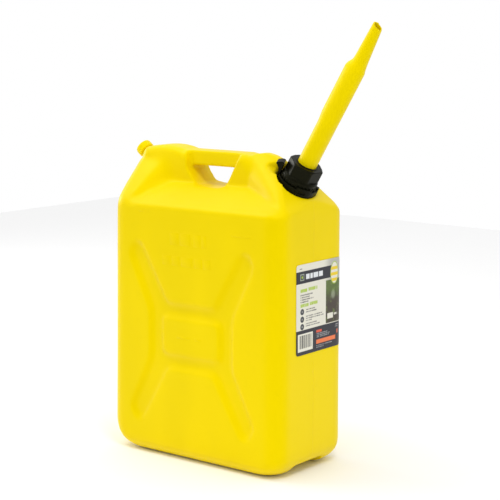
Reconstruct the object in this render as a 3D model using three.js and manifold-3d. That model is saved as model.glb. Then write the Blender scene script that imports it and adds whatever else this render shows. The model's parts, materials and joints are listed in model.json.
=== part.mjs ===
// A 20 litre plastic fuel can: a blow-moulded tank with a pouring spout held by a screw collar,
// a ratchet lock ring with its thumb tab, a vent cap and a paper label.
// Millimetres, +Z up, +X towards the spout, origin under the middle of the tank's base.
import * as THREE from 'three';
import { ConvexGeometry } from 'three/addons/geometries/ConvexGeometry.js';
import { mergeVertices } from 'three/addons/utils/BufferGeometryUtils.js';
import Module from 'manifold-3d';

// ---- tank -------------------------------------------------------------------------------------
const canLength = 343; // over the narrow faces, along X
const canDepth = 174; // over the wide faces, along Y
const wallTop = 400; // height where the upright walls end
const wall = 3; // moulded wall thickness
const planRadius = 28; // upright corner edges
const rearHeel = 46; // base curve under the rear face
const frontHeel = 35; // and under the front face
const sideHeel = 24; // and under the wide faces
const rearDraft = 6; // how far the rear face leans in on its way up
const shoulderRise = 30; // from the wall top to the foot of the handle ridge
const shoulderLip = 4; // the walls start to round over this far below their top
const ridgeFoot = 32; // half depth of the shoulder where the ridge starts

const ridgeHalf = 27; // half depth of the handle ridge
const ridgeRound = 12; // rounding of its long edges
const ridgeInset = 93.5; // its front end from the front face
const barRise = 82; // top of the grip bar over the wall top
const barDepth = 33;
const barHeight = 23.5;
const gapDrop = 31; // height of the finger gap
const gapRear = -58;
const gapFront = 38;
const gapSlant = 22; // how far the gap's ends lean in towards its floor
const gapRound = 9;
const pocketLip = 9; // height of the pocket's upright rims beside the grip bar
const humpRise = 6; // the rear hump stands this much over the grip bar

const grooveDepth = 5; // X-shaped stiffening groove in the wide faces
const grooveDraft = 4; // half width of its sloping sides
const grooveRound = 11;
const grooveSink = 3; // how far its middle is below half the wall's height
const armInset = 59.5; // from a narrow face to the middle of an arm's end
const armMargin = 63; // from an arm's end to the base or the wall top
const beltHalf = 81; // half length of the belt between the arms
const islandHalf = 59; // raised panel inside the belt
const islandRise = 31;

const notchHalf = 38; // hand notch under the front edge
const notchHeight = 13;
const notchReach = 62; // how far it runs in under the base
const notchRound = 8;

// ---- neck and closure, measured along the neck axis from its seat -------------------------------
const humpCrest = 95; // highest part of the neck hump from the front face
const gableCrest = 37; // and of the rear gable from the rear face
const neckTilt = THREE.MathUtils.degToRad(31);
const neckInset = 34.4; // the seat's middle from the front face
const neckRise = 35.6; // and over the wall top
const gap = 0.3; // clearance between resting pieces
const fit = 0.5; // radial clearance round the neck and the spout
const spoutRadius = 15;
const spoutWall = 2.2;
const spoutLength = 243; // above the collar's top
const spoutFoot = 10.8; // depth of the spout's foot under the collar's top
const neckPlay = 2; // between the spout's foot and the neck's bore
const neckWall = 4;
const neckTop = 32.6;
const threadRoom = 1; // between the neck and the collar
const hexWall = 6; // collar wall at its corners
const skirtWall = 6.4;
const skirtHeight = 10;
const hexHeight = 21;
const hexTurn = THREE.MathUtils.degToRad(26.8);
const toothCount = 30;
const toothSize = 1.1;
const toothHeight = 4.5;
const ringWidth = 11;
const ringHeight = 10;
const seatMargin = 5; // flat seat round the lock ring
const ringPlay = 3; // free space round the lock ring
const gasketHeight = 2.2;
const flangeHeight = 2.6;
const tubeRadius = 3.5;
const tubeBore = 2.3;
const airHeight = 150; // air hole over the collar's top
const airRadius = 2.6;
const tabAngle = THREE.MathUtils.degToRad(209.5);
const tabWidth = 15;
const tabThickness = 3.4;
const tabReach = 12; // how far its beak stands out
const tabSet = 2; // how deep the tab is set into the lock ring's edge
const tabHeight = 29.5;
const tabSwing = 8; // free space beyond the beak
const tabPlay = 2; // and on each side of the tab
const tabSill = 6; // height of the ledge under its swing

const neckBore = spoutRadius + neckPlay;
const neckRadius = neckBore + neckWall;
const collarBore = neckRadius + threadRoom;
const hexRadius = collarBore + hexWall; // over the corners
const skirtRadius = collarBore + skirtWall;
const ringRadius = neckRadius + ringWidth;
const seatClear = ringRadius + ringPlay;
const seatRadius = ringRadius + seatMargin;
const neckSeat = [canLength / 2 - neckInset, 0, wallTop + neckRise];

// ---- vent, measured along its own axis from the boss face ---------------------------------------
const ventTilt = THREE.MathUtils.degToRad(-52);
const ventInset = 8.3; // the boss face's middle from the rear face
const ventRise = 73; // and over the wall top
const bossRadius = 12.2;
const stubRadius = 7.4;
const stubBore = 4.2;
const stubTop = 8.6;
const capWall = 5.4;
const capCrown = 2.6;
const capEdge = 1.4;
const sealHeight = 1.5;

const capRadius = stubRadius + fit + capWall;
const ventSeat = [ventInset - canLength / 2, 0, wallTop + ventRise];

// ---- label ----------------------------------------------------------------------------------------
const labelBottom = 185.5;
const labelHeight = 138;
const labelFlat = 103; // width on the flat of the front face
const labelWrap = THREE.MathUtils.degToRad(24); // how far it turns round the far corner
const labelThickness = 0.5;

const plastic = (color, roughness) => new THREE.MeshStandardMaterial({ color, roughness, metalness: 0 });
const yellow = plastic(0xf2d400, 0.42);
const black = plastic(0x23241c, 0.38);
const rubber = plastic(0x1a1a1a, 0.75);
const paper = plastic(0xe9e6d6, 0.55);

const wasm = await Module();
wasm.setup();

const mergeReach = 1e-4;

// A closed geometry as a solid that can be cut and joined.
function solid(geometry) {
  const bare = geometry.index ? geometry.toNonIndexed() : geometry.clone();
  for (const name of Object.keys(bare.attributes)) {
    if (name !== 'position') bare.deleteAttribute(name);
  }
  const merged = mergeVertices(bare, mergeReach);
  const corners = merged.index.array;
  const kept = [];
  for (let i = 0; i < corners.length; i += 3) {
    const [a, b, c] = [corners[i], corners[i + 1], corners[i + 2]];
    if (a !== b && b !== c && c !== a) kept.push(a, b, c);
  }
  const vertProperties = Float32Array.from(merged.attributes.position.array);
  return new wasm.Manifold(new wasm.Mesh({ numProp: 3, vertProperties, triVerts: Uint32Array.from(kept) }));
}

function geometryOf(body) {
  const mesh = body.getMesh();
  const geometry = new THREE.BufferGeometry();
  geometry.setAttribute('position', new THREE.BufferAttribute(mesh.vertProperties, 3));
  geometry.setIndex(new THREE.BufferAttribute(mesh.triVerts, 1));
  geometry.computeVertexNormals();
  return geometry;
}

const join = (...bodies) => bodies.reduce((sum, body) => sum.add(body));

// Rings of points, each listed anticlockwise from above, joined from the lowest to the highest.
function loft(rings) {
  const count = rings[0].length;
  const points = rings.flat();
  const middle = (ring) => ring.reduce((sum, p) => sum.add(p), new THREE.Vector3()).divideScalar(count);
  points.push(middle(rings[0]), middle(rings[rings.length - 1]));
  const [floor, lid] = [points.length - 2, points.length - 1];
  const top = count * (rings.length - 1);
  const faces = [];
  for (let i = 0; i < count; i += 1) {
    const j = (i + 1) % count;
    for (let r = 0; r < top; r += count) {
      faces.push(r + i, r + j, r + count + j, r + i, r + count + j, r + count + i);
    }
    faces.push(floor, j, i, lid, top + i, top + j);
  }
  const geometry = new THREE.BufferGeometry();
  geometry.setAttribute('position', new THREE.Float32BufferAttribute(points.flatMap((p) => p.toArray()), 3));
  geometry.setIndex(faces);
  return solid(geometry);
}

// Revolves an outline of [radius, height] pairs about the Z axis.
function turned(outline, segments = 48) {
  const points = [...outline, outline[0]].map(([r, z]) => new THREE.Vector2(r, z));
  return solid(new THREE.LatheGeometry(points, segments).rotateX(Math.PI / 2));
}

const tube = (outer, inner, low, high, segments) =>
  turned([[inner, low], [outer, low], [outer, high], [inner, high]], segments);
const rod = (radius, low, high, segments) => turned([[0, low], [radius, low], [radius, high], [0, high]], segments);

// Moves every side of an anticlockwise outline outwards by the same distance.
function grown(points, distance) {
  return points.map((p, i) => {
    const before = points[(i + points.length - 1) % points.length];
    const after = points[(i + 1) % points.length];
    const n1 = new THREE.Vector2(p[1] - before[1], before[0] - p[0]).normalize();
    const n2 = new THREE.Vector2(after[1] - p[1], p[0] - after[0]).normalize();
    const shift = n1.clone().add(n2).multiplyScalar(distance / (1 + n1.dot(n2)));
    return [p[0] + shift.x, p[1] + shift.y];
  });
}

// An outline with every corner rounded by the same radius.
function rounded(points, radius) {
  const path = new THREE.Shape();
  points.forEach((p, i) => {
    const corner = new THREE.Vector2(...p);
    const before = new THREE.Vector2(...points[(i + points.length - 1) % points.length]);
    const after = new THREE.Vector2(...points[(i + 1) % points.length]);
    const reach = Math.min(radius, corner.distanceTo(before) / 2, corner.distanceTo(after) / 2);
    const start = corner.clone().add(before.sub(corner).setLength(reach));
    const end = corner.clone().add(after.sub(corner).setLength(reach));
    if (i === 0) path.moveTo(start.x, start.y);
    else path.lineTo(start.x, start.y);
    path.quadraticCurveTo(corner.x, corner.y, end.x, end.y);
  });
  path.closePath();
  return path;
}

// An outline drawn in X and Z, made a slab from y = low to y = high.
function slab(shape, low, high, curveSegments = 3) {
  const geometry = new THREE.ExtrudeGeometry(shape, { depth: high - low, bevelEnabled: false, curveSegments });
  return solid(geometry.rotateX(Math.PI / 2).translate(0, high, 0));
}

// Part of a ring round the Z axis, with its middle at an angle.
function sector(inner, outer, middle, spread, low, high) {
  const shape = new THREE.Shape();
  shape.absarc(0, 0, outer, middle - spread / 2, middle + spread / 2);
  shape.absarc(0, 0, inner, middle + spread / 2, middle - spread / 2, true);
  const settings = { depth: high - low, bevelEnabled: false, curveSegments: 8 };
  return solid(new THREE.ExtrudeGeometry(shape, settings).translate(0, 0, low));
}

const neckPlace = new THREE.Matrix4().makeRotationY(neckTilt).setPosition(...neckSeat);
const ventPlace = new THREE.Matrix4().makeRotationY(ventTilt).setPosition(...ventSeat);
const placed = (body, matrix) => solid(geometryOf(body).applyMatrix4(matrix));
const swung = (body, angle) => placed(body, new THREE.Matrix4().makeRotationZ(angle));
const shifted = (body, x, y, z) => placed(body, new THREE.Matrix4().makeTranslation(x, y, z));

// A horizontal outline of the tank: straight sides with rounded corners.
function planRing({ z, rear, front, half, rearRound, frontRound }) {
  const steps = 6;
  const corners = [
    [front - frontRound, half - frontRound, frontRound],
    [rear + rearRound, half - rearRound, rearRound],
    [rear + rearRound, rearRound - half, rearRound],
    [front - frontRound, frontRound - half, frontRound],
  ];
  return corners.flatMap(([x, y, radius], quarter) =>
    Array.from({ length: steps + 1 }, (_, i) => {
      const angle = (quarter + i / steps) * (Math.PI / 2);
      return new THREE.Vector3(x + radius * Math.cos(angle), y + radius * Math.sin(angle), z);
    }),
  );
}

// How far a base curve of this radius pulls the wall in at a height, inside a skin of this thickness.
function heelInset(height, radius, skin) {
  const rest = Math.max(radius - height, 0) / (radius - skin);
  return skin + (radius - skin) * (1 - Math.sqrt(1 - Math.min(rest, 1) ** 2));
}

// The tank below the ridge. A skin of zero gives the outside, and the wall thickness gives the inside.
function shell(skin) {
  const [end, side] = [canLength / 2, canDepth / 2];
  const slope = (side - ridgeFoot) / shoulderRise;
  const rings = [];
  const ring = (z, rearIn, frontIn, sideIn, rearRound = planRadius - skin, frontRound = planRadius - skin) => {
    const half = side - sideIn;
    const most = half - 1;
    const rounds = { rearRound: Math.min(rearRound, most), frontRound: Math.min(frontRound, most) };
    rings.push({ z, rear: rearIn - end, front: end - frontIn, half, ...rounds });
  };
  const heel = Math.max(rearHeel, frontHeel);
  const steps = 7;
  for (let i = 0; i <= steps; i += 1) {
    const z = skin + (heel - skin) * (1 - Math.cos((i / steps) * (Math.PI / 2)));
    ring(z, heelInset(z, rearHeel, skin), heelInset(z, frontHeel, skin), heelInset(z, sideHeel, skin));
  }
  const edgeRise = 1;
  const shoulder = (share, frontIn, rearRound, frontRound) => {
    const rise = shoulderRise * share;
    const sideIn = Math.max(rise, edgeRise) * slope + skin;
    ring(wallTop + rise - skin, rearDraft + skin, frontIn + skin, sideIn, rearRound, frontRound);
  };
  ring(wallTop - shoulderLip - skin, rearDraft + skin, skin, skin);
  shoulder(0, 0.4, planRadius, planRadius);
  shoulder(0.2, 1.5, 30, 34);
  shoulder(0.6, 8, 34, 40);
  shoulder(1, 43, 30, 30);
  return loft(rings.map(planRing));
}

// A convex body over mirrored [x, half depth, height] points. A skin draws it in from its sides, from its
// top, and towards its crest from both ends.
function hull(spread, crest, skin, others = []) {
  const points = spread.flatMap(([x, half, z]) => {
    const inX = x + Math.sign(crest - x) * skin;
    const inHalf = Math.max(half - skin, 1);
    return [inHalf, -inHalf].map((y) => new THREE.Vector3(inX, y, z - skin));
  });
  return solid(new ConvexGeometry([...points, ...others]));
}

// The spread of material that carries the neck: from the round seat down to the front shoulders.
function neckHump(skin) {
  const facets = 24;
  const rim = Array.from({ length: facets }, (_, i) => {
    const angle = (i / facets) * 2 * Math.PI;
    const reach = seatRadius - skin;
    return new THREE.Vector3(reach * Math.cos(angle), reach * Math.sin(angle), -skin).applyMatrix4(neckPlace);
  });
  const spread = [
    [105, ridgeHalf + 1, 29],
    [101.5, ridgeHalf, 53],
    [75, ridgeFoot, 29],
    [38, 53, 18.5],
    [6, 71, 5.5],
    [0, canDepth / 2 - planRadius, 1],
    [110, 13, 81],
    [88, 7, 84],
    [72, 6, 81],
    [57, 4, 75],
  ];
  const points = spread.map(([inward, half, rise]) => [canLength / 2 - inward, half, wallTop + rise]);
  return hull(points, canLength / 2 - humpCrest, skin, rim);
}

// The gable under the rear hump and the vent boss.
function rearHump(skin) {
  const side = canDepth / 2;
  const spread = [
    [3, 20, 50],
    [6, 15, 60],
    [7, side - 27, 4],
    [12, side - 11, 4],
    [24, side - 2.5, 2.5],
    [40, side - 1, 1.5],
    [78, ridgeFoot, 29],
    [76, 24, 56],
    [66, 20, 70],
    [16, 13, 68],
    [72, 14, 80],
    [24, 12, 80],
  ];
  const points = spread.map(([inward, half, rise]) => [inward - canLength / 2, half, wallTop + rise]);
  return hull(points, gableCrest - canLength / 2, skin);
}

const barTop = wallTop + barRise;
const gapTop = barTop - barHeight;
const gapFloor = gapTop - gapDrop;
const gapOutline = [
  [gapRear + gapSlant, gapFloor],
  [gapFront - gapSlant * 0.8, gapFloor],
  [gapFront, gapTop],
  [gapRear, gapTop],
];
// Beside the grip bar the gap carries on up, which leaves the bar narrower than the ridge.
const pocketOutline = [
  ...gapOutline.slice(0, 2),
  [gapFront + 8, barTop - pocketLip],
  [gapFront + 14, barTop + 20],
  [gapRear - 8, barTop + 20],
  [gapRear + 1, barTop - pocketLip],
  [gapRear + 2, gapTop - 4],
  [gapRear + 8, gapTop - 13],
];

// The long ridge over the shoulders that carries the grip bar.
function ridge(skin) {
  const [rear, front] = [-canLength / 2, canLength / 2 - ridgeInset];
  const hump = barTop + humpRise;
  const inner = ridgeRound - skin;
  const flank = ridgeHalf - ridgeRound;
  const foot = wallTop + 8;
  const profile = new THREE.Shape();
  profile.moveTo(rear + 9 + skin, foot);
  profile.lineTo(rear + 11.5 + skin, barTop - 24 - skin);
  profile.lineTo(rear + 22 + skin, barTop - skin);
  profile.quadraticCurveTo(rear + 72, hump + humpRise - 1 - skin, rear + 104, barTop - skin);
  profile.lineTo(front - 32, barTop - skin);
  profile.quadraticCurveTo(front - 2 - skin, barTop - skin, front - 1 - skin, barTop - 36);
  profile.lineTo(front - skin, foot);
  profile.closePath();
  const settings = {
    depth: 2 * flank,
    bevelThickness: inner,
    bevelSize: inner,
    bevelOffset: -inner,
    bevelSegments: 3,
    curveSegments: 6,
  };
  const block = solid(new THREE.ExtrudeGeometry(profile, settings).rotateX(Math.PI / 2).translate(0, flank, 0));
  const barHalf = barDepth / 2;
  const pocket = rounded(grown(pocketOutline, skin), gapRound);
  const beside = canDepth / 2;
  return block
    .subtract(slab(pocket, barHalf - skin, beside))
    .subtract(slab(pocket, -beside, skin - barHalf));
}

const fingerGap = (skin) => slab(rounded(grown(gapOutline, skin), gapRound), -canDepth, canDepth, 5);

// The X-shaped groove of one wide face, as the piece that is cut away.
function groove(skin, hand) {
  const middle = wallTop / 2 - grooveSink;
  const [armX, armZ] = [canLength / 2 - armInset, wallTop / 2 - armMargin];
  const quarter = [
    [beltHalf, 39],
    [armX + 12, armZ - 12],
    [armX, armZ + 4],
    [armX - 11, armZ + 3],
    [beltHalf - 16, 81],
    [beltHalf - 33, 50],
  ];
  const flip = (points, x, z) => points.map(([px, pz]) => [px * x, pz * z]);
  const outline = [
    ...quarter,
    ...flip(quarter, -1, 1).reverse(),
    ...flip(quarter, -1, -1),
    ...flip(quarter, 1, -1).reverse(),
  ];
  const shape = rounded(outline, grooveRound);
  const island = [[1, 1], [-1, 1], [-1, -1], [1, -1]].map(([x, z]) => [x * islandHalf, z * islandRise]);
  shape.holes.push(rounded(island, grooveRound + 2));
  const settings = {
    depth: 2 * grooveDepth,
    bevelThickness: grooveDepth,
    bevelSize: 2 * grooveDraft,
    bevelOffset: skin - grooveDraft,
    bevelSegments: 1,
    curveSegments: 2,
  };
  // Turned upright, the cut's narrow end faces the middle of the tank.
  const cut = new THREE.ExtrudeGeometry(shape, settings).rotateX(Math.PI / 2).translate(0, grooveDepth, 0);
  const face = canDepth / 2 + grooveDepth - skin;
  if (hand > 0) cut.rotateZ(Math.PI);
  return solid(cut.translate(0, hand * face, middle));
}

function handNotch(skin) {
  const end = canLength / 2;
  const below = -5;
  const outline = [
    [end - notchReach, below],
    [end + 15, below],
    [end + 15, notchHeight + 2],
    [end - 12, notchHeight + 1],
    [end - notchReach + 10, notchHeight - 4],
  ];
  const half = notchHalf + skin;
  return slab(rounded(grown(outline, skin), notchRound), -half, half, 3);
}

// Free space round the neck for the lock ring, and behind it for the swing of the thumb tab.
function closureRoom(skin) {
  const high = canDepth / 2; // well clear of the ridge
  const [reach, low] = [ringRadius + tabReach + tabSwing + skin, tabSill - skin];
  const corners = [[0, low], [reach, low], [reach, high], [0, high]];
  const outline = new THREE.Shape(corners.map(([x, z]) => new THREE.Vector2(x, z)));
  const half = tabWidth / 2 + tabPlay + skin;
  const swing = swung(slab(outline, -half, half), tabAngle);
  return placed(join(rod(seatClear + skin, -skin, high), swing), neckPlace);
}

// The tank's form without its wall: a skin of zero is the outside and the wall is the inside.
function form(skin) {
  return join(shell(skin), neckHump(skin), rearHump(skin), ridge(skin))
    .subtract(fingerGap(skin))
    .subtract(groove(skin, -1))
    .subtract(groove(skin, 1))
    .subtract(handNotch(skin))
    .subtract(closureRoom(skin));
}

function tank() {
  const root = 14; // how deep the neck and the boss reach into the form
  const neck = placed(rod(neckRadius, -root, neckTop), neckPlace);
  const bore = placed(rod(neckBore, -root - 2, neckTop + 10), neckPlace);
  const boss = placed(join(rod(bossRadius, -root, 0, 32), rod(stubRadius, -root, stubTop, 32)), ventPlace);
  const ventBore = placed(rod(stubBore, -root - 6, stubTop + 5, 24), ventPlace);
  return form(0).add(neck).add(boss).subtract(form(wall)).subtract(bore).subtract(ventBore);
}

// ---- closure ----------------------------------------------------------------------------------------
const collarLow = ringHeight + 2 * gap;
const hexLow = collarLow + skirtHeight;
const collarTop = hexLow + hexHeight;
const gasketLow = neckTop + gap;
const flangeLow = gasketLow + gasketHeight + gap;
const collarCeiling = flangeLow + flangeHeight + gap;
const toothReach = skirtRadius + toothSize; // radius over the collar's teeth

function lockRing() {
  const lugAngle = THREE.MathUtils.degToRad(34);
  const ledgeAngle = THREE.MathUtils.degToRad(327);
  const lugTop = ringHeight + 4;
  const notchSpread = (tabWidth + tabPlay) / ringRadius;
  const inner = toothReach + fit;
  const base = tube(ringRadius, neckRadius + fit, gap, ringHeight, 64);
  const lug = sector(inner, ringRadius + 1, lugAngle, 0.24, gap, lugTop);
  const ledge = sector(inner, ringRadius + 1, ledgeAngle, 0.8, gap, lugTop);
  const slot = sector(ringRadius - 0.8, ringRadius + 3, ledgeAngle - 0.1, 0.36, 5, 8.5);
  const notch = sector(ringRadius - tabSet - fit, ringRadius + 4, tabAngle, notchSpread, -1, ringHeight + 1);
  return join(base, lug, ledge).subtract(slot).subtract(notch);
}

// The thumb lever that holds the collar's teeth: an upright with an overhanging beak.
function lockTab() {
  const inner = ringRadius - tabSet;
  const outer = inner + tabThickness;
  const tip = inner + tabReach;
  const profile = new THREE.Shape();
  profile.moveTo(inner, 1);
  profile.lineTo(outer, 1);
  profile.lineTo(outer, tabHeight - 18);
  profile.quadraticCurveTo(outer + 2, tabHeight - 10, tip, tabHeight - 6.6);
  profile.lineTo(tip, tabHeight - 5);
  profile.quadraticCurveTo(tip - 5, tabHeight, inner + 2, tabHeight);
  profile.lineTo(inner + 0.4, tabHeight - 1);
  profile.closePath();
  return swung(slab(profile, -tabWidth / 2, tabWidth / 2, 5), tabAngle);
}

function collar() {
  const hexagon = Array.from({ length: 6 }, (_, i) => {
    const angle = hexTurn + (i * Math.PI) / 3;
    return [hexRadius * Math.cos(angle), hexRadius * Math.sin(angle)];
  });
  const chamfer = 4;
  const neckline = 2; // where the skirt blends into the hexagon
  const settings = { depth: hexHeight + 1, bevelEnabled: false, curveSegments: 3 };
  const prism = solid(new THREE.ExtrudeGeometry(rounded(hexagon, 3), settings).translate(0, 0, hexLow - 1));
  const crown = turned([
    [0, hexLow - 2],
    [hexRadius + 2, hexLow - 2],
    [hexRadius + 2, collarTop - chamfer],
    [hexRadius - chamfer + 0.6, collarTop],
    [0, collarTop],
  ]);
  const hole = spoutRadius + fit;
  const [rimWidth, rimRise] = [2.6, 0.8];
  const rim = tube(hole + rimWidth, hole, collarTop - 2, collarTop + rimRise);
  const skirt = turned([
    [0, collarLow],
    [skirtRadius, collarLow],
    [skirtRadius, hexLow - neckline],
    [skirtRadius - 1.5, hexLow + 1],
    [0, hexLow + 1],
  ]);
  const teeth = Array.from({ length: toothCount }, (_, i) => {
    const angle = (i * 2 * Math.PI) / toothCount;
    return sector(skirtRadius - 1, toothReach, angle, 0.09, collarLow, collarLow + toothHeight);
  });
  const hollow = rod(collarBore, collarLow - 5, collarCeiling);
  const body = join(prism.intersect(crown), skirt, rim, ...teeth);
  return body.subtract(hollow).subtract(rod(hole, collarLow, collarTop + 5));
}

// Level ovals along the spout: height over the collar, reach to the rear, reach to the front, half depth.
const spoutStations = [
  [-spoutFoot, spoutRadius, spoutRadius, spoutRadius],
  [71, spoutRadius, spoutRadius, spoutRadius],
  [85, spoutRadius + 2.2, spoutRadius + 0.6, spoutRadius - 1.2],
  [166, spoutRadius + 2.2, spoutRadius + 0.9, spoutRadius - 1.2],
  [171, spoutRadius + 0.4, spoutRadius - 0.6, spoutRadius - 2.2],
  [179, spoutRadius - 4.6, spoutRadius - 1.8, spoutRadius - 3.6],
  [185, spoutRadius - 5.4, spoutRadius - 2.4, spoutRadius - 4.2],
  [spoutLength, spoutRadius - 7.4, spoutRadius - 7.2, spoutRadius - 7.2],
];

function spoutForm(skin, extra) {
  const facets = 36;
  const last = spoutStations.length - 1;
  return loft(
    spoutStations.map(([height, rear, front, half], station) => {
      const past = { 0: -extra, [last]: extra }[station] ?? 0;
      const z = collarTop + height + past;
      const [reach, middle] = [(front + rear) / 2 - skin, (front - rear) / 2];
      return Array.from({ length: facets }, (_, i) => {
        const angle = (i / facets) * 2 * Math.PI;
        return new THREE.Vector3(middle + reach * Math.cos(angle), (half - skin) * Math.sin(angle), z);
      });
    }),
  );
}

// What the slanted mouth leaves out: high at the rear, a small step, then down to a round front corner.
function mouthCut() {
  const top = collarTop + spoutLength;
  const across = 12;
  const outline = new THREE.Shape();
  outline.moveTo(-across, top + across);
  outline.lineTo(-across, top - 0.4);
  outline.lineTo(-3.6, top - 1);
  outline.lineTo(-2.8, top - 2.6);
  outline.lineTo(3.4, top - 4.6);
  outline.quadraticCurveTo(6.8, top - 5.6, 8.4, top - 9.6);
  outline.lineTo(across, top - 12);
  outline.lineTo(across, top + across);
  outline.closePath();
  return slab(outline, -across, across);
}

function spout() {
  const flange = rod(neckRadius - 0.1, flangeLow, flangeLow + flangeHeight);
  const airHole = shifted(rod(airRadius, -20, 20, 20), airRadius - spoutRadius, 0, collarTop + airHeight);
  const body = spoutForm(0, 0).add(flange).subtract(spoutForm(spoutWall, 4));
  return body.subtract(airHole).subtract(mouthCut());
}

const gasket = () => tube(neckRadius - 0.4, neckBore + 0.4, gasketLow, gasketLow + gasketHeight);

function ventTube() {
  const offset = spoutRadius - spoutWall - gap - tubeRadius;
  const [tubeDrop, tubeRise] = [40, 12]; // under the gasket and over the air hole
  const [low, high] = [gasketLow - tubeDrop, collarTop + airHeight + tubeRise];
  return shifted(tube(tubeRadius, tubeBore, low, high, 20), -offset, 0, 0);
}

// ---- vent cap -----------------------------------------------------------------------------------------
function ventCap() {
  const inside = stubTop + gap + sealHeight + gap;
  const top = inside + capCrown;
  return turned(
    [
      [stubRadius + fit, gap],
      [capRadius - capEdge, gap],
      [capRadius, gap + capEdge],
      [capRadius, top - 2 * capEdge],
      [capRadius - capEdge / 2, top - capEdge / 2],
      [capRadius - 2 * capEdge, top],
      [0, top],
      [0, inside],
      [stubRadius + fit, inside],
    ],
    40,
  );
}

const ventSeal = () => tube(stubRadius - 0.3, stubBore + 0.4, stubTop + gap, stubTop + gap + sealHeight, 32);

// ---- label --------------------------------------------------------------------------------------------
function label() {
  const shape = new THREE.Shape();
  const [cornerX, cornerY] = [canLength / 2 - planRadius, canDepth / 2 - planRadius];
  const near = cornerY - labelFlat;
  const inner = planRadius + gap;
  const outer = inner + labelThickness;
  shape.moveTo(cornerX + inner, near);
  shape.lineTo(cornerX + outer, near);
  shape.absarc(cornerX, cornerY, outer, 0, labelWrap, false);
  shape.absarc(cornerX, cornerY, inner, labelWrap, 0, true);
  shape.closePath();
  const settings = { depth: labelHeight, bevelEnabled: false, curveSegments: 8 };
  return solid(new THREE.ExtrudeGeometry(shape, settings).translate(0, 0, labelBottom));
}

// ---- the assembly ---------------------------------------------------------------------------------------
function piece(name, body, material) {
  const mesh = new THREE.Mesh(geometryOf(body), material);
  mesh.name = name;
  return mesh;
}

const closure = new THREE.Group();
closure.position.set(...neckSeat);
closure.rotation.y = neckTilt;
closure.add(
  piece('lock_ring', lockRing(), black),
  piece('lock_tab', lockTab(), black),
  piece('collar', collar(), black),
  piece('spout_gasket', gasket(), rubber),
  piece('spout', spout(), yellow),
  piece('vent_tube', ventTube(), yellow),
);

const vent = new THREE.Group();
vent.position.set(...ventSeat);
vent.rotation.y = ventTilt;
vent.add(piece('vent_cap', ventCap(), yellow), piece('vent_cap_seal', ventSeal(), rubber));

const can = new THREE.Group();
can.add(piece('tank', tank(), yellow), closure, vent, piece('label', label(), paper));

export default can;
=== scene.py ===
"""A 20 litre yellow plastic fuel can with a black screw collar, a long pouring spout and a printed label."""

import json
import math

import bpy
from mathutils import Matrix, Vector

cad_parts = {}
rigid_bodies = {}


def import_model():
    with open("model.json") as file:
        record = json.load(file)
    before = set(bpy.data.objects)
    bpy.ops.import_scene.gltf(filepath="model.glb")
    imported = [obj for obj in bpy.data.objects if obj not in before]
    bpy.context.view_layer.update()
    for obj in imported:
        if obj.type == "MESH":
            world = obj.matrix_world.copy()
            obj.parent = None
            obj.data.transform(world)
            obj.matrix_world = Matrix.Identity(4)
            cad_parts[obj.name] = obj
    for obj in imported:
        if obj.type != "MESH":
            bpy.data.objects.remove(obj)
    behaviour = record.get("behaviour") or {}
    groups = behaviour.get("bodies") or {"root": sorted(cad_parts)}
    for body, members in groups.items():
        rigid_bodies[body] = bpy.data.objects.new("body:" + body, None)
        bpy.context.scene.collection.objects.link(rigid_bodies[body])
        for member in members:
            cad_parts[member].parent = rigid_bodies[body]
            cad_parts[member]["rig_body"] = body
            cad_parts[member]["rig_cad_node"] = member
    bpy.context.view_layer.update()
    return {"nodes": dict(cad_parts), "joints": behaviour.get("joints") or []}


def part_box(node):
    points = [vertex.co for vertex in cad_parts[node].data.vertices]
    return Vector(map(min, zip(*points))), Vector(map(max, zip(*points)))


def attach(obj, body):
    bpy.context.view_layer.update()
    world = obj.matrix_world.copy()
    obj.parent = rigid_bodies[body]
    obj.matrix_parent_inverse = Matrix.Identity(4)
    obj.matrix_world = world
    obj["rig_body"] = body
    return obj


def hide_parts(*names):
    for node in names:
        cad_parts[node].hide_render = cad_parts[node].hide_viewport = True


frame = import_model()

bl_info = {
    "name": "Fuel Can",
    "version": (1, 0, 0),
    "blender": (4, 5, 0),
    "location": "View3D > Sidebar > Fuel Can",
    "description": "Builds a moulded plastic fuel can with its spout, collar, vent cap and label",
    "category": "Object",
}

MM = 0.001
JOINTS = {joint["name"]: joint for joint in frame["joints"]}
NECK_SEAT = Vector(JOINTS["collar_turn"]["pos_m"])
NECK_AXIS = Vector(JOINTS["collar_turn"]["axis"]).normalized()
VENT_AXIS = Vector(JOINTS["vent_cap_pull"]["axis"]).normalized()

TANK_LOW, TANK_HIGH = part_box("tank")
HALF_DEPTH = (TANK_HIGH.y - TANK_LOW.y) / 2
LABEL_LOW, LABEL_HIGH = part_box("label")
SEAL_LOW, SEAL_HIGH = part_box("vent_cap_seal")

NECK_RADIUS = 21 * MM
COLLAR_BORE = 22 * MM
PLAN_RADIUS = 28 * MM
THREAD_LOW = 13.5 * MM  # from the neck's seat
THREAD_DEPTH = 1.4 * MM
THREAD_WIDTH = 2.8 * MM
THREAD_CREST = 0.45  # the crest's width as a share of the root's
THREAD_STEPS = 56  # in one turn
NECK_TURNS = 3.0
COLLAR_TURNS = 2.8
SEAL_MIDDLE = 9.65 * MM  # from the vent boss's face
CAP_RADIUS = 13.3 * MM
RIB_SIZE = (1.8 * MM, 1.5 * MM, 8.4 * MM)
RIB_MIDDLE = 5.6 * MM  # from the vent boss's face
SOFT_EDGE = 0.5 * MM
CAD_FILM = 0.5 * MM  # thickness of the label in the CAD
LABEL_COLUMNS = 24
SMOOTH_ANGLE = math.radians(40)
TANK_TRIANGLES = 180000

# each fit begins at START along its axis and keeps its shape out to CLEAR from that axis,
# and the walls are fully softened FADE further out
NECK_CLEAR, NECK_FADE, NECK_START = NECK_RADIUS + 2 * MM, 8 * MM, -MM
STUB_CLEAR, STUB_FADE, STUB_START = 9 * MM, 5 * MM, -4 * MM

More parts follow.
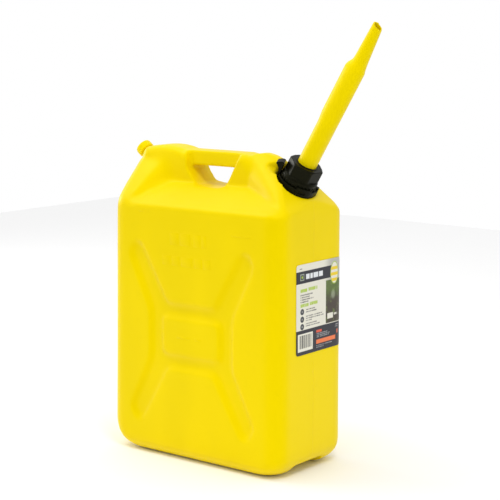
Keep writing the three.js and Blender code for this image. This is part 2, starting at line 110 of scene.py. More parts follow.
# runs of the tank's top that are blended, in millimetres: two ends as length, side and height, and a reach
BLENDS = [
    ((-138, 72, 408), (-96, 30, 448), 34),
    ((-120, 40, 430), (-110, 30, 455), 34),
    ((60, 14, 471), (166, 74, 407), 15),
    ((20, 60, 412), (-100, 60, 412), 14),
]

# rows of raised bars in millimetres: height, bar height, and each bar's middle and width
MARK_ROWS = [
    (350.5, 19, ((-31, 17), (-9, 20), (15, 13), (29, 9))),
    (316, 15, ((-47, 16), (-28, 15), (-6, 22), (17, 15), (34, 14))),
    (197, 4, ((-14, 26), (16, 12))),
    (388, 1.6, ((-93, 22),)),
    (365, 1.6, ((101, 38),)),
]
MARK_ROOT = 1.5 * MM  # how deep a bar is rooted in the wall
PANEL_SINK = 0.3 * MM  # how far the wall behind the bars lies inside the tank's box

FLOOR_SIZE = 5.0
FLOOR_GAP = 0.5 * MM
SCREEN_TOWARDS = (0.61, -0.77, -0.18)  # from the can to the middle of the dark screen
LAMP_AIM = Vector((0, 0, 0.25))
CAMERA_PLACE = (1.47047, -1.79833, 0.68717)
CAMERA_PITCH = math.radians(7.50067)
CAMERA_AZIMUTH = math.radians(38.31642)
CAMERA_LENS = 107.425
CAMERA_SHIFT = -0.0705


def placing(origin, axis):
    """The matrix that stands a piece made along Z on an axis that lies in the XZ plane."""
    tilt = math.atan2(axis.x, axis.z)
    return Matrix.Translation(origin) @ Matrix.Rotation(tilt, 4, "Y")


NECK = placing(NECK_SEAT, NECK_AXIS)
VENT = placing((SEAL_LOW + SEAL_HIGH) / 2 - VENT_AXIS * SEAL_MIDDLE, VENT_AXIS)


# ---- small modelling steps ---------------------------------------------------------------------


def deselect():
    if bpy.context.object and bpy.context.object.mode != "OBJECT":
        bpy.ops.object.mode_set(mode="OBJECT")
    bpy.ops.object.select_all(action="DESELECT")


def activate(obj):
    deselect()
    obj.select_set(True)
    bpy.context.view_layer.objects.active = obj


def edit(obj, choose="SELECT"):
    activate(obj)
    bpy.ops.object.mode_set(mode="EDIT")
    bpy.ops.mesh.select_all(action=choose)


def leave_edit():
    bpy.ops.object.mode_set(mode="OBJECT")


def named(name):
    obj = bpy.context.object
    obj.name = name
    obj.data.name = name
    return obj


def modified(obj, kind, **settings):
    """Adds a modifier and applies it."""
    activate(obj)
    modifier = obj.modifiers.new(kind.lower(), kind)
    for key, value in settings.items():
        setattr(modifier, key, value)
    bpy.ops.object.modifier_apply(modifier=modifier.name)
    return obj


def copy_of_node(node, name):
    """A merged copy of a CAD node, free of its body."""
    activate(frame["nodes"][node])
    bpy.ops.object.duplicate()
    obj = named(name)
    obj.parent = None
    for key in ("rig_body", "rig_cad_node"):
        if key in obj:
            del obj[key]
    edit(obj)
    bpy.ops.mesh.remove_doubles(threshold=0.01 * MM)
    leave_edit()
    return obj


def joined(obj, *others):
    activate(obj)
    for other in others:
        other.select_set(True)
    bpy.ops.object.join()
    return obj


def placed(obj, matrix):
    """Puts a piece in its place and leaves its object at the origin."""
    activate(obj)
    obj.matrix_world = matrix @ obj.matrix_world
    bpy.ops.object.transform_apply(location=True, rotation=True, scale=True)
    return obj


def melted(obj, voxel, smoothing, share):
    """Runs overlapping solids together, softens their edges and thins the mesh to a share of its faces."""
    modified(obj, "REMESH", mode="VOXEL", voxel_size=voxel)
    modified(obj, "SMOOTH", factor=0.5, iterations=smoothing)
    return modified(obj, "DECIMATE", ratio=share)


def block(size, place, bevel=0.0, name="block"):
    """A box with rounded edges."""
    deselect()
    bpy.ops.mesh.primitive_cube_add(size=1, location=place)
    obj = named(name)
    obj.scale = size
    bpy.ops.object.transform_apply(location=True, rotation=True, scale=True)
    if bevel:
        edit(obj)
        bpy.ops.mesh.bevel(offset=bevel, segments=3, affect="EDGES")
        leave_edit()
    return obj


def spiral(name, radius, pitch, turns, low, inward=False):
    """A thread: a ridge section swept up a helix and closed at both ends."""
    deselect()
    bpy.ops.mesh.primitive_plane_add(size=1, rotation=(math.pi / 2, 0, 0))
    obj = named(name)
    obj.scale = (THREAD_DEPTH, THREAD_WIDTH, 1)
    bpy.ops.object.transform_apply(location=True, rotation=True, scale=True)
    hand = -1 if inward else 1
    for vertex in obj.data.vertices:
        crest = vertex.co.x * hand > 0
        vertex.co.z *= THREAD_CREST if crest else 1.0
        vertex.co.x += radius
        vertex.co.z += low
    modified(
        obj,
        "SCREW",
        axis="Z",
        angle=2 * math.pi * turns,
        screw_offset=pitch * turns,
        steps=int(THREAD_STEPS * turns),
        render_steps=int(THREAD_STEPS * turns),
        use_merge_vertices=False,
        use_normal_calculate=True,
    )
    edit(obj, "DESELECT")
    bpy.ops.mesh.select_mode(type="EDGE")
    bpy.ops.mesh.select_non_manifold(extend=False)
    bpy.ops.mesh.edge_face_add()
    bpy.ops.mesh.select_all(action="SELECT")
    bpy.ops.mesh.normals_make_consistent(inside=False)
    leave_edit()
    return obj


def finish_piece(obj, body, slot, material, *nodes):
    """Gives a piece its finish and its body and hides the CAD nodes that it stands for; the slot is not used.
    """
    activate(obj)
    bpy.ops.object.shade_smooth_by_angle(angle=SMOOTH_ANGLE)
    obj.data.materials.clear()
    obj.data.materials.append(material)
    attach(obj, body)
    if nodes:
        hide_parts(*nodes)
    return obj


# ---- materials ---------------------------------------------------------------------------------


class Field:
    """A shader socket that takes part in Python arithmetic."""

    def __init__(self, graph, socket):
        self.graph = graph
        self.socket = socket

    def maths(self, operation, first, second=None, clamp=False):
        sockets = {0: first} if second is None else {0: first, 1: second}
        return self.graph.node("ShaderNodeMath", {"operation": operation, "use_clamp": clamp}, sockets)

    def __add__(self, other):
        return self.maths("ADD", self, other)

    __radd__ = __add__

    def __sub__(self, other):
        return self.maths("SUBTRACT", self, other)

    def __rsub__(self, other):
        return self.maths("SUBTRACT", other, self)

    def __mul__(self, other):
        return self.maths("MULTIPLY", self, other)

    __rmul__ = __mul__

    def __truediv__(self, other):
        return self.maths("DIVIDE", self, other)

    def __pow__(self, other):
        return self.maths("POWER", self, other)

    def __abs__(self):
        return self.maths("ABSOLUTE", self)

    def most(self, other):
        return self.maths("MAXIMUM", self, other)

    def held(self):
        return self.maths("ADD", self, 0.0, clamp=True)


class Graph:
    """One material's nodes, ending in a Principled shader."""

    def __init__(self, name, **fixed):
        self.material = bpy.data.materials.new(name)
        self.material.use_nodes = True
        self.tree = self.material.node_tree
        self.tree.nodes.clear()
        self.shader = self.tree.nodes.new("ShaderNodeBsdfPrincipled")
        output = self.tree.nodes.new("ShaderNodeOutputMaterial")
        self.tree.links.new(self.shader.outputs[0], output.inputs["Surface"])
        for key, value in fixed.items():
            self.shader.inputs[key.replace("_", " ")].default_value = value

    def node(self, kind, settings=None, sockets=None, output=0):
        made = self.tree.nodes.new(kind)
        for key, value in (settings or {}).items():
            setattr(made, key, value)
        for key, value in (sockets or {}).items():
            if isinstance(value, Field):
                self.tree.links.new(value.socket, made.inputs[key])
            else:
                made.inputs[key].default_value = value
        return Field(self, made.outputs[output])

    def set(self, name, value):
        self.tree.links.new(value.socket, self.shader.inputs[name])

    def place(self):
        """Object coordinates as one vector and as x, y and z."""
        vector = self.node("ShaderNodeTexCoord", output="Object")
        return vector, *self.parts(vector)

    def parts(self, vector):
        split = self.tree.nodes.new("ShaderNodeSeparateXYZ")
        self.tree.links.new(vector.socket, split.inputs[0])
        return [Field(self, socket) for socket in split.outputs]

    def noise(self, vector, scale, detail=3.0, roughness=0.5, stretch=None):
        if stretch:
            vector = self.node("ShaderNodeMapping", None, {"Vector": vector, "Scale": stretch})
        sockets = {"Vector": vector, "Scale": scale, "Detail": detail, "Roughness": roughness}
        return self.node("ShaderNodeTexNoise", None, sockets)

    def step(self, value, low, high):
        """Zero below low, one above high and a soft rise between."""
        sockets = {"Value": value, "From Min": low, "From Max": high}
        return self.node("ShaderNodeMapRange", {"interpolation_type": "SMOOTHSTEP"}, sockets)

    def band(self, value, low, high, soft):
        return self.step(value, low - soft, low + soft) * (1.0 - self.step(value, high - soft, high + soft))

    def mix(self, mask, first, second):
        settings = {"data_type": "RGBA"}
        return self.node("ShaderNodeMix", settings, {0: mask, 6: first, 7: second}, output=2)

    def bump(self, height, distance, strength=1.0, below=None):
        sockets = {"Height": height, "Distance": distance, "Strength": strength}
        if below:
            sockets["Normal"] = below
        return self.node("ShaderNodeBump", None, sockets)


def shade(color, share):
    """A colour made lighter or darker."""
    return (*[min(1.0, channel * share) for channel in color[:3]], 1.0)


def yellow_plastic(name, color, seam):
    """Satin moulded polyethylene: fine orange peel, faint flow marks, light rubs and a parting line."""
    graph = Graph(name, IOR=1.5, Specular_IOR_Level=0.22, Specular_Tint=(1.0, 0.9, 0.04, 1.0))
    place, _, y, _ = graph.place()
    flow = graph.noise(place, 9.0, 2.0, stretch=(1.0, 1.0, 0.35))
    mottle = graph.noise(place, 60.0, 4.0)
    tone = graph.mix(graph.step(flow, 0.35, 0.65), shade(color, 0.97), shade(color, 1.02))
    tone = graph.mix(graph.step(mottle, 0.55, 0.8) * 0.25, tone, shade(color, 0.93))
    graph.set("Base Color", tone)
    rubs = graph.noise(place, 42.0, 6.0, 0.7, stretch=(1.0, 1.0, 5.0))
    graph.set("Roughness", 0.36 + 0.1 * graph.step(rubs, 0.5, 0.75) + 0.05 * mottle)
    peel = graph.noise(place, 750.0, 2.0)
    waves = graph.noise(place, 38.0, 1.0)
    normal = graph.bump(peel, 0.08 * MM, 0.6)
    normal = graph.bump(waves, 0.35 * MM, 0.5, normal)
    if seam:
        normal = graph.bump(1.0 - graph.step(abs(y), 0.2 * MM, 0.7 * MM), 0.3 * MM, 0.8, normal)
    graph.set("Normal", normal)
    return graph.material


def black_plastic(name, color):
    """Satin black moulding with a slightly dusty, worn sheen."""
    graph = Graph(name, IOR=1.5, Specular_IOR_Level=0.1, Specular_Tint=(1.0, 0.98, 0.6, 1.0))
    place = graph.place()[0]
    wear = graph.noise(place, 160.0, 5.0, 0.65)
    graph.set("Base Color", graph.mix(graph.step(wear, 0.45, 0.75), color, shade(color, 1.9)))
    graph.set("Roughness", 0.24 + 0.2 * wear)
    graph.set("Normal", graph.bump(graph.noise(place, 1400.0, 2.0), 0.05 * MM, 0.5))
    return graph.material


def rubber_finish(name):
    graph = Graph(name, IOR=1.5, Specular_IOR_Level=0.35)
    place = graph.place()[0]
    bloom = graph.noise(place, 300.0, 4.0)
    graph.set("Base Color", graph.mix(bloom, (0.012, 0.012, 0.012, 1), (0.035, 0.035, 0.034, 1)))
    graph.set("Roughness", 0.62 + 0.2 * bloom)
    graph.set("Normal", graph.bump(bloom, 0.04 * MM, 0.5))
    return graph.material


def label_print(name, art, width, height):
    """The printed film: plain blocks, bars and panels where lettering would be, placed in millimetres."""
    graph = Graph(name, IOR=1.5, Specular_IOR_Level=0.4)
    uv = graph.node("ShaderNodeTexCoord", output="UV")
    u, v, _ = graph.parts(uv)
    x, y = u * width, v * height

    def rect(left, right, low, high, fade=0.12):
        return graph.band(x, left, right, fade) * graph.band(y, low, high, fade)

    def disc(middle, radii, fade=0.05):
        reach = (((x - middle[0]) / radii[0]) ** 2.0 + ((y - middle[1]) / radii[1]) ** 2.0) ** 0.5
        return 1.0 - graph.step(reach, 1.0 - fade, 1.0 + fade)

    def total(masks):
        result = masks[0]
        for mask in masks[1:]:
            result = result.most(mask)
        return result

    strokes = graph.node("ShaderNodeMapping", None, {"Vector": uv, "Scale": (170.0, 9.0, 1.0)})
    letters = graph.node("ShaderNodeTexNoise", {"noise_dimensions": "2D"}, {"Vector": strokes, "Scale": 1.0})
    words = graph.step(letters, 0.42, 0.5)

    def lines(left, rows, thick):
        """Rows of small print, each from the same left edge to its own end."""
        return total([rect(left, right, low, low + thick) for low, right in rows])

    paper, navy, green, orange, leaf, brown = art
    tone = graph.node("ShaderNodeRGB")
    tone.socket.default_value = paper
    tone = graph.mix(rect(68, 130, 104, 140) * graph.step(x, 68.0, 90.0) * 0.6, tone, (0.28, 0.28, 0.26, 1))
    tone = graph.mix(rect(-5, 130, -5, 38), tone, navy)
    tone = graph.mix(rect(-5, 92, 109, 127.5), tone, navy)
    # picture panel: foliage over a dark ground
    leaves = graph.noise(uv, 1.0, 5.0, stretch=(14.0, 16.0, 1.0))
    ground = graph.mix(graph.step(y + 16.0 * leaves, 78.0, 102.0), brown, leaf)
    ground = graph.mix(graph.step(leaves, 0.52, 0.7) * 0.5, ground, shade(leaf, 1.9))
    tone = graph.mix(rect(75.5, 130, 38.8, 105.5), tone, ground)
    tone = graph.mix(disc((94.5, 82), (5, 6), 0.5) * 0.4, tone, (0.5, 0.55, 0.4, 1))
    tone = graph.mix(rect(79.5, 94.5, 45.5, 54, 0.5), tone, paper)
    tone = graph.mix(lines(96.5, [(49.5, 106)], 3.2) * words, tone, paper)
    tone = graph.mix(rect(75.5, 130, 37.8, 38.8), tone, paper)
    # header: a small square frame and a row of plain blocks
    emblem = rect(9.5, 19.5, 113.5, 123.5, 0.5) - rect(11, 18, 115, 122, 0.5)
    tone = graph.mix((emblem * 0.75).held(), tone, (0.45, 0.5, 0.4, 1))
    tone = graph.mix(rect(12.8, 16.2, 116.8, 120.2, 0.4), tone, green)
    blocks = [(24, 9), (35, 6), (43, 12), (57, 10)]
    row_of_blocks = total([rect(left, left + wide, 114.6, 122.4, 0.35) for left, wide in blocks])
    tone = graph.mix(row_of_blocks, tone, (0.78, 0.8, 0.82, 1))
    tone = graph.mix(rect(8, 14, 130.8, 132.2) * 0.7, tone, navy)
    # headings, small print and bullets
    headings = total([
        rect(10, 27, 95.5, 100.6, 0.3),
        rect(30, 53, 96.2, 101.3, 0.3),
        rect(10, 31, 73, 78, 0.3),
        rect(34, 54, 73.6, 78.6, 0.3),
    ])
    tone = graph.mix(headings * graph.step(letters, 0.36, 0.46), tone, green)
    print_rows = total([
        lines(10, [(90.3, 41), (86.8, 34), (83.3, 44), (79.8, 30)], 2.0),
        lines(24, [(67.4, 47), (63.9, 51), (57.2, 66), (53.9, 70), (50.6, 39), (45.8, 52), (42.4, 60)], 1.7),
    ])
    tone = graph.mix(print_rows * words * 0.9, tone, (0.05, 0.05, 0.06, 1))
    rows = [66.0, 54.5, 43.2]
    bullets = total([disc((14.8, row), (4.7, 4.7)) for row in rows])
    tone = graph.mix(bullets, tone, (0.05, 0.055, 0.06, 1))
    centres = total([rect(13.3, 16.3, row - 1.3, row + 1.3, 0.4) for row in rows])
    tone = graph.mix(centres, tone, (0.3, 0.3, 0.29, 1))
    # foot: striped code panel, warning colours and small print
    tone = graph.mix(rect(4, 42, 5.5, 32.5), tone, shade(paper, 1.02))
    across = {"W": x * 0.45, "Scale": 1.0, "Detail": 0.0}
    code = graph.step(graph.node("ShaderNodeTexNoise", {"noise_dimensions": "1D"}, across), 0.46, 0.52)
    tone = graph.mix(rect(8, 38.5, 10, 30) * code, tone, (0.05, 0.05, 0.045, 1))
    tone = graph.mix(rect(51, 65, 28.6, 32.4, 0.2), tone, (0.75, 0.1, 0.05, 1))
    tone = graph.mix(rect(51, 101, 11.2, 17.6, 0.2), tone, orange)
    foot_rows = lines(51, [(26.0, 80), (23.4, 86), (20.9, 84), (7.6, 92), (4.9, 70)], 1.5)
    tone = graph.mix(foot_rows * words * 0.55, tone, (0.55, 0.56, 0.58, 1))
    tone = graph.mix(rect(104, 108, 20, 26, 0.5), tone, (0.6, 0.12, 0.05, 1))
    tone = graph.mix(lines(100, [(33, 110), (30, 108)], 1.5) * words * 0.5, tone, (0.6, 0.6, 0.6, 1))
    # badge: a rounded patch with three plain stripes
    middle, reach = (97.5, 115.5), (10.6, 17.6)
    rim = 1.5
    inside = disc(middle, (reach[0] - rim, reach[1] - rim))
    tone = graph.mix(disc(middle, reach), tone, shade(green, 0.9))
    tone = graph.mix(inside, tone, paper)
    stripes = total([rect(80, 115, low, low + 5, 0.4) for low in (102, 111, 120)])
    tone = graph.mix(inside * stripes, tone, (0.85, 0.62, 0.02, 1))
    graph.set("Base Color", tone)
    ink = graph.noise(uv, 260.0, 3.0)
    graph.set("Roughness", 0.34 + 0.12 * ink)
    graph.set("Normal", graph.bump(ink, 0.03 * MM, 0.4))
    return graph.material


def studio_world(sky, level):
    """Soft white light, strongest from above, with a dark screen standing in front of the can."""
    world = bpy.data.worlds.new("even_light")
    world.use_nodes = True
    tree = world.node_tree
    background = tree.nodes["Background"]
    background.inputs["Color"].default_value = (1, 1, 1, 1)
    coordinates = tree.nodes.new("ShaderNodeTexCoord")
    split = tree.nodes.new("ShaderNodeSeparateXYZ")
    tree.links.new(coordinates.outputs["Generated"], split.inputs[0])
    rise = tree.nodes.new("ShaderNodeMapRange")
    for socket, value in (("From Min", 0.0), ("From Max", 0.7), ("To Min", level), ("To Max", sky)):
        rise.inputs[socket].default_value = value
    tree.links.new(split.outputs["Z"], rise.inputs["Value"])
    facing = tree.nodes.new("ShaderNodeVectorMath")
    facing.operation = "DOT_PRODUCT"
    facing.inputs[1].default_value = SCREEN_TOWARDS
    tree.links.new(coordinates.outputs["Generated"], facing.inputs[0])
    screen = tree.nodes.new("ShaderNodeMapRange")
    for socket, value in (("From Min", 0.72), ("From Max", 0.93), ("To Min", 1.0), ("To Max", 0.3)):
        screen.inputs[socket].default_value = value
    tree.links.new(facing.outputs["Value"], screen.inputs["Value"])
    dimmed = tree.nodes.new("ShaderNodeMath")
    dimmed.operation = "MULTIPLY"
    tree.links.new(rise.outputs[0], dimmed.inputs[0])
    tree.links.new(screen.outputs[0], dimmed.inputs[1])
    path = tree.nodes.new("ShaderNodeLightPath")
    seen = tree.nodes.new("ShaderNodeMath")
    seen.operation = "MAXIMUM"
    tree.links.new(dimmed.outputs[0], seen.inputs[0])
    tree.links.new(path.outputs["Is Camera Ray"], seen.inputs[1])
    tree.links.new(seen.outputs[0], background.inputs["Strength"])
    return world


# ---- settings ------------------------------------------------------------------------------------


def color_setting(name, words, default):
    return bpy.props.FloatVectorProperty(
        name=name, description=words, subtype="COLOR", size=4, min=0, max=1, default=default
    )


def strength_setting(name, words, default):
    return bpy.props.FloatProperty(name=name, description=words, default=default, min=0)


def power_setting(name, words, default):
    return bpy.props.FloatProperty(name=name, description=words, unit="POWER", default=default, min=0)


class CAN_PG_tank(bpy.types.PropertyGroup):
    color: color_setting("Colour", "Colour of the moulded tank", (0.91, 0.695, 0.0, 1))
    grain: bpy.props.FloatProperty(
        name="Mesh size", description="Size of the tank's mesh", unit="LENGTH", default=2.2 * MM, min=MM
    )
    softness: bpy.props.IntProperty(
        name="Softness", description="How much the moulded edges are rounded", default=7, min=0
    )
    blending: bpy.props.IntProperty(
        name="Blending", description="How far the shoulders run into the humps", default=60, min=0
    )
    mark_height: bpy.props.FloatProperty(
        name="Mark height", description="How far the raised bars stand out", unit="LENGTH", default=0.6 * MM
    )


class CAN_PG_closure(bpy.types.PropertyGroup):
    color: color_setting("Colour", "Colour of the collar, ring and tab", (0.003, 0.0032, 0.0012, 1))
    grain: bpy.props.FloatProperty(
        name="Mesh size", description="Size of the closure's surface mesh", unit="LENGTH", default=0.45 * MM
    )
    pitch: bpy.props.FloatProperty(
        name="Thread pitch", description="Rise of the screw in one turn", unit="LENGTH", default=5 * MM
    )


class CAN_PG_spout(bpy.types.PropertyGroup):
    color: color_setting("Colour", "Colour of the spout", (0.91, 0.71, 0.0, 1))
    grain: bpy.props.FloatProperty(
        name="Mesh size", description="Size of the spout's surface mesh", unit="LENGTH", default=0.8 * MM
    )
    ribs: bpy.props.IntProperty(
        name="Cap ribs", description="Grip ribs round the vent cap", default=18, min=6
    )


class CAN_PG_label(bpy.types.PropertyGroup):
    paper: color_setting("Paper", "Ground colour", (0.79, 0.77, 0.66, 1))
    navy: color_setting("Dark", "Header and foot colour", (0.02, 0.02, 0.03, 1))
    green: color_setting("Green", "Heading colour", (0.42, 0.58, 0.06, 1))
    orange: color_setting("Orange", "Bar colour", (0.88, 0.2, 0.06, 1))
    leaf: color_setting("Leaf", "Top of the picture panel", (0.1, 0.15, 0.03, 1))
    brown: color_setting("Brown", "Foot of the picture panel", (0.06, 0.045, 0.03, 1))
    corner: bpy.props.FloatProperty(
        name="Corner", description="Corner radius of the label", unit="LENGTH", default=5 * MM
    )
    thickness: bpy.props.FloatProperty(
        name="Thickness", description="Thickness of the film", unit="LENGTH", default=0.3 * MM
    )


class CAN_PG_stage(bpy.types.PropertyGroup):
    floor: color_setting("Floor", "Colour of the floor", (0.97, 0.97, 0.97, 1))
    sky: strength_setting("Sky", "Strength of the light from above", 1.0)
    level: strength_setting("Level light", "Strength of the light from the sides", 0.6)
    key: power_setting("Key light", "Power of the overhead light", 9.0)
    left: power_setting("Left light", "Power of the high light on the left", 6.0)
    low: power_setting("Low light", "Power of the low light on the left", 8.0)


# ---- pieces ---------------------------------------------------------------------------------------


def clear_of_fits(spot):
    """One on the moulded walls, falling to zero at the neck and at the vent stub."""
    neck = NECK.inverted() @ spot
    stub = VENT.inverted() @ spot
    share = 1.0
    if neck.z > NECK_START:
        share = min(share, max(0.0, (math.hypot(neck.x, neck.y) - NECK_CLEAR) / NECK_FADE))
    if stub.z > STUB_START:
        share = min(share, max(0.0, (math.hypot(stub.x, stub.y) - STUB_CLEAR) / STUB_FADE))
    return share


def along(spot, start, end, reach):
    """How near a spot is to a line given in millimetres on one side of the middle plane, from one to zero."""
    first, last = Vector(start) * MM, Vector(end) * MM
    point = Vector((spot.x, abs(spot.y), spot.z))
    run = last - first
    share = min(1.0, max(0.0, (point - first).dot(run) / run.length_squared))
    near = 1.0 - (point - first - share * run).length / (reach * MM)
    return min(1.0, max(0.0, 2 * near))


def soften(obj, name, rounds, weight):
    """Smooths a piece by a weight that each place in it is given."""
    group = obj.vertex_groups.new(name=name)
    for vertex in obj.data.vertices:
        share = weight(vertex.co)
        if share:
            group.add([vertex.index], share * clear_of_fits(vertex.co), "REPLACE")
    modified(obj, "SMOOTH", factor=0.5, iterations=rounds, vertex_group=group.name)
    obj.vertex_groups.clear()


class CAN_OT_tank(bpy.types.Operator):
    """Build the moulded tank with soft edges"""

    bl_idname = "can.tank"
    bl_label = "Tank"

    def execute(self, context):
        settings = context.scene.can_tank
        tank = copy_of_node("tank", "tank_body")
        modified(tank, "REMESH", mode="VOXEL", voxel_size=settings.grain)
        soften(tank, "edges", settings.softness, lambda spot: 1.0)
        for start, end, reach in BLENDS:
            soften(tank, "blend", settings.blending, lambda spot: along(spot, start, end, reach))
        modified(tank, "DECIMATE", ratio=min(1.0, TANK_TRIANGLES / (2 * len(tank.data.polygons))))
        material = yellow_plastic("tank_yellow", tuple(settings.color), True)
        finish_piece(tank, "can_body", "yellow_plastic", material, "tank")
        return {"FINISHED"}


class CAN_OT_marks(bpy.types.Operator):
    """Add the plain raised bars on the wide faces"""

    bl_idname = "can.marks"
    bl_label = "Raised Bars"

    def execute(self, context):
        depth = MARK_ROOT + context.scene.can_tank.mark_height
        side = HALF_DEPTH - PANEL_SINK - MARK_ROOT + depth / 2
        bars = []
        for hand in (-1, 1):
            for level, tall, places in MARK_ROWS:
                for middle, wide in places:
                    size = (wide * MM, depth, tall * MM)
                    bars.append(block(size, (-hand * middle * MM, hand * side, level * MM), SOFT_EDGE))
        marks = joined(*bars)
        marks.name = "raised_bars"
        material = yellow_plastic("marks_yellow", tuple(context.scene.can_tank.color), False)
        finish_piece(marks, "can_body", "yellow_plastic", material)
        return {"FINISHED"}


class CAN_OT_neck_thread(bpy.types.Operator):
    """Add the screw thread round the neck"""

    bl_idname = "can.neck_thread"
    bl_label = "Neck Thread"

    def execute(self, context):
        pitch = context.scene.can_closure.pitch
        thread = spiral("neck_thread", NECK_RADIUS + 0.1 * MM, pitch, NECK_TURNS, THREAD_LOW)
        placed(thread, NECK)
        material = yellow_plastic("thread_yellow", tuple(context.scene.can_tank.color), False)
        finish_piece(thread, "can_body", "yellow_plastic", material)
        return {"FINISHED"}


class CAN_OT_lock_ring(bpy.types.Operator):
    """Build the ratchet ring and its thumb tab"""

    bl_idname = "can.lock_ring"
    bl_label = "Lock Ring"

    def execute(self, context):
        settings = context.scene.can_closure
        material = black_plastic("closure_black", tuple(settings.color))
        ring = copy_of_node("lock_ring", "ratchet_ring")
        melted(ring, settings.grain, smoothing=3, share=0.35)
        finish_piece(ring, "can_body", "black_plastic", material, "lock_ring")
        tab = copy_of_node("lock_tab", "thumb_tab")
        melted(tab, settings.grain * 0.8, smoothing=3, share=0.6)
        finish_piece(tab, "lock_tab_body", "black_plastic", material, "lock_tab")
        return {"FINISHED"}


class CAN_OT_collar(bpy.types.Operator):
    """Build the six-sided screw collar"""

    bl_idname = "can.collar"
    bl_label = "Collar"

    def execute(self, context):
        settings = context.scene.can_closure
        collar = copy_of_node("collar", "screw_collar")
        melted(collar, settings.grain, smoothing=4, share=0.35)
        material = bpy.data.materials["closure_black"]
        finish_piece(collar, "collar_body", "black_plastic", material, "collar")
        low = THREAD_LOW + settings.pitch / 2
        thread = spiral("collar_thread", COLLAR_BORE, settings.pitch, COLLAR_TURNS, low, inward=True)
        placed(thread, NECK)
        finish_piece(thread, "collar_body", "black_plastic", material)
        return {"FINISHED"}


class CAN_OT_spout(bpy.types.Operator):
    """Build the pouring spout, its air tube and its gasket"""

    bl_idname = "can.spout"
    bl_label = "Spout"

    def execute(self, context):
        settings = context.scene.can_spout
        spout = copy_of_node("spout", "pouring_spout")
        melted(spout, settings.grain, smoothing=6, share=0.5)
        material = yellow_plastic("spout_yellow", tuple(settings.color), False)
        finish_piece(spout, "spout_body", "spout_plastic", material, "spout")
        air_tube = copy_of_node("vent_tube", "air_tube")
        melted(air_tube, settings.grain / 2, smoothing=2, share=0.4)
        finish_piece(air_tube, "spout_body", "spout_plastic", material, "vent_tube")
        gasket = copy_of_node("spout_gasket", "neck_gasket")
        melted(gasket, settings.grain / 2, smoothing=4, share=0.5)
        finish_piece(gasket, "spout_body", "seal_rubber", rubber_finish("seal_rubber_black"), "spout_gasket")
        return {"FINISHED"}


class CAN_OT_vent_cap(bpy.types.Operator):
    """Build the ribbed vent cap"""

    bl_idname = "can.vent_cap"
    bl_label = "Vent Cap"

    def execute(self, context):
        settings = context.scene.can_spout
        cap = copy_of_node("vent_cap", "vent_cap_ribbed")
        first = block(RIB_SIZE, (CAP_RADIUS - RIB_SIZE[0] / 3, 0, RIB_MIDDLE), SOFT_EDGE, "rib")
        ribs = [first]
        for number in range(1, settings.ribs):
            activate(first)
            bpy.ops.object.duplicate()
            rib = placed(named("rib"), Matrix.Rotation(2 * math.pi * number / settings.ribs, 4, "Z"))
            ribs.append(rib)
        joined(cap, *[placed(rib, VENT) for rib in ribs])
        melted(cap, settings.grain / 2, smoothing=3, share=0.5)
        material = yellow_plastic("cap_yellow", tuple(settings.color), False)
        finish_piece(cap, "vent_cap_body", "yellow_plastic", material, "vent_cap")
        seal = copy_of_node("vent_cap_seal", "cap_seal")
        melted(seal, settings.grain / 2, smoothing=3, share=0.5)
        rubber = bpy.data.materials["seal_rubber_black"]
        finish_piece(seal, "vent_cap_body", "seal_rubber", rubber, "vent_cap_seal")
        return {"FINISHED"}


class CAN_OT_label(bpy.types.Operator):
    """Build the printed label wrapped round the front corner"""

    bl_idname = "can.label"
    bl_label = "Label"

    def execute(self, context):
        settings = context.scene.can_label
        near = LABEL_LOW.y
        flat_end = HALF_DEPTH - PLAN_RADIUS
        gap = LABEL_HIGH.x - TANK_HIGH.x - CAD_FILM
        radius = PLAN_RADIUS + gap
        turn = math.asin((LABEL_HIGH.y - flat_end) / (radius + CAD_FILM))
        width = flat_end - near + radius * turn
        height = LABEL_HIGH.z - LABEL_LOW.z
        deselect()
        bpy.ops.mesh.primitive_plane_add(size=1, location=(0.5, 0.5, 0))
        label = named("printed_label")
        bpy.ops.object.transform_apply(location=True, rotation=False, scale=False)
        label.scale = (width, height, 1)
        bpy.ops.object.transform_apply(location=False, rotation=False, scale=True)
        edit(label)
        bpy.ops.mesh.select_mode(type="VERT")
        bpy.ops.mesh.bevel(offset=settings.corner, segments=6, affect="VERTICES")
        for column in range(1, LABEL_COLUMNS):
            bpy.ops.mesh.select_all(action="SELECT")
            bpy.ops.mesh.bisect(plane_co=(width * column / LABEL_COLUMNS, 0, 0), plane_no=(1, 0, 0))
        leave_edit()
        layer = label.data.uv_layers.active or label.data.uv_layers.new(name="print")
        for loop in label.data.loops:
            spot = label.data.vertices[loop.vertex_index].co
            layer.data[loop.index].uv = (spot.x / width, spot.y / height)
        corner = LABEL_HIGH.x - CAD_FILM - radius
        for vertex in label.data.vertices:
            run, up = vertex.co.x - (flat_end - near), vertex.co.y
            angle = max(0.0, run / radius)
            side = flat_end + min(0.0, run) + radius * math.sin(angle)
            vertex.co = (corner + radius * math.cos(angle), side, LABEL_LOW.z + up)
        modified(label, "SOLIDIFY", thickness=settings.thickness, offset=1.0)
        material = label_print(
            "label_print",
            [tuple(getattr(settings, key)) for key in ("paper", "navy", "green", "orange", "leaf", "brown")],
            width / MM,
            height / MM,
        )
        finish_piece(label, "can_body", "label_film", material, "label")
        return {"FINISHED"}


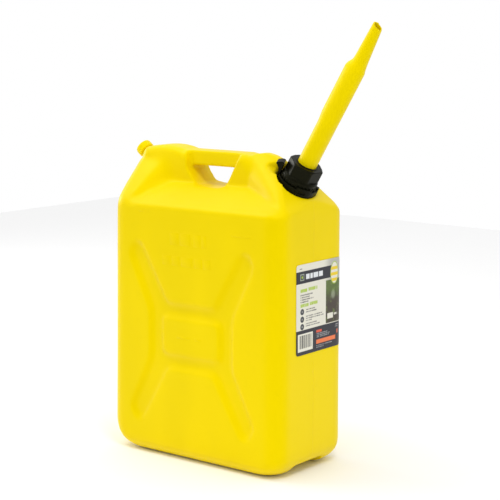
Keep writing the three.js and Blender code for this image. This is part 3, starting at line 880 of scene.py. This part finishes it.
class CAN_OT_stage(bpy.types.Operator):
    """Add the floor, the soft light and the camera"""

    bl_idname = "can.stage"
    bl_label = "Stage"

    def execute(self, context):
        settings = context.scene.can_stage
        deselect()
        bpy.ops.mesh.primitive_plane_add(size=FLOOR_SIZE, location=(0, 0, TANK_LOW.z - FLOOR_GAP))
        floor = named("floor")
        graph = Graph("floor_paint", Roughness=0.9, Specular_IOR_Level=0.1)
        patch = graph.noise(graph.place()[0], 1.5, 2.0)
        graph.set("Base Color", graph.mix(patch, shade(settings.floor, 0.99), shade(settings.floor, 1.01)))
        floor.data.materials.append(graph.material)
        context.scene.world = studio_world(settings.sky, settings.level)
        lamps = [
            ("key_light", (1.0, -0.75, 2.0), 0.4, settings.key),
            ("left_light", (-0.9, -0.5, 1.9), 0.6, settings.left),
            ("low_light", (-2.0, 0.0, 0.8), 0.6, settings.low),
        ]
        for name, place, size, power in lamps:
            bpy.ops.object.light_add(type="AREA", location=place)
            lamp = context.object
            lamp.name = name
            lamp.data.size = size
            lamp.data.energy = power
            aim = LAMP_AIM - Vector(place)
            lamp.rotation_euler = aim.to_track_quat("-Z", "Y").to_euler()
        bpy.ops.object.camera_add(location=CAMERA_PLACE)
        camera = context.object
        camera.name = "camera"
        camera.rotation_euler = (math.pi / 2 - CAMERA_PITCH, 0, CAMERA_AZIMUTH)
        camera.data.sensor_width = 36
        camera.data.lens = CAMERA_LENS
        camera.data.shift_y = CAMERA_SHIFT
        context.scene.camera = camera
        context.scene.view_settings.view_transform = "Standard"
        return {"FINISHED"}


class CAN_PT_panel(bpy.types.Panel):
    """Lists the steps that build the can"""

    bl_idname = "CAN_PT_panel"
    bl_label = "Fuel Can"
    bl_space_type = "VIEW_3D"
    bl_region_type = "UI"
    bl_category = "Fuel Can"

    def draw(self, context):
        for group in GROUPS:
            settings = getattr(context.scene, group)
            box = self.layout.box()
            for key in settings.bl_rna.properties.keys():
                if key not in ("rna_type", "name"):
                    box.prop(settings, key)
        for step in STEPS:
            self.layout.operator(step.bl_idname)


GROUPS = {
    "can_tank": CAN_PG_tank,
    "can_closure": CAN_PG_closure,
    "can_spout": CAN_PG_spout,
    "can_label": CAN_PG_label,
    "can_stage": CAN_PG_stage,
}
STEPS = [
    CAN_OT_stage,
    CAN_OT_tank,
    CAN_OT_marks,
    CAN_OT_neck_thread,
    CAN_OT_lock_ring,
    CAN_OT_collar,
    CAN_OT_spout,
    CAN_OT_vent_cap,
    CAN_OT_label,
]


def register():
    for item in [*GROUPS.values(), *STEPS, CAN_PT_panel]:
        bpy.utils.register_class(item)
    for key, group in GROUPS.items():
        setattr(bpy.types.Scene, key, bpy.props.PointerProperty(type=group))


def unregister():
    for key in GROUPS:
        delattr(bpy.types.Scene, key)
    for item in reversed([*GROUPS.values(), *STEPS, CAN_PT_panel]):
        bpy.utils.unregister_class(item)


def main():
    register()
    bpy.ops.can.stage()
    bpy.ops.can.tank()
    bpy.ops.can.marks()
    bpy.ops.can.neck_thread()
    bpy.ops.can.lock_ring()
    bpy.ops.can.collar()
    bpy.ops.can.spout()
    bpy.ops.can.vent_cap()
    bpy.ops.can.label()


if __name__ == "__main__":
    main()
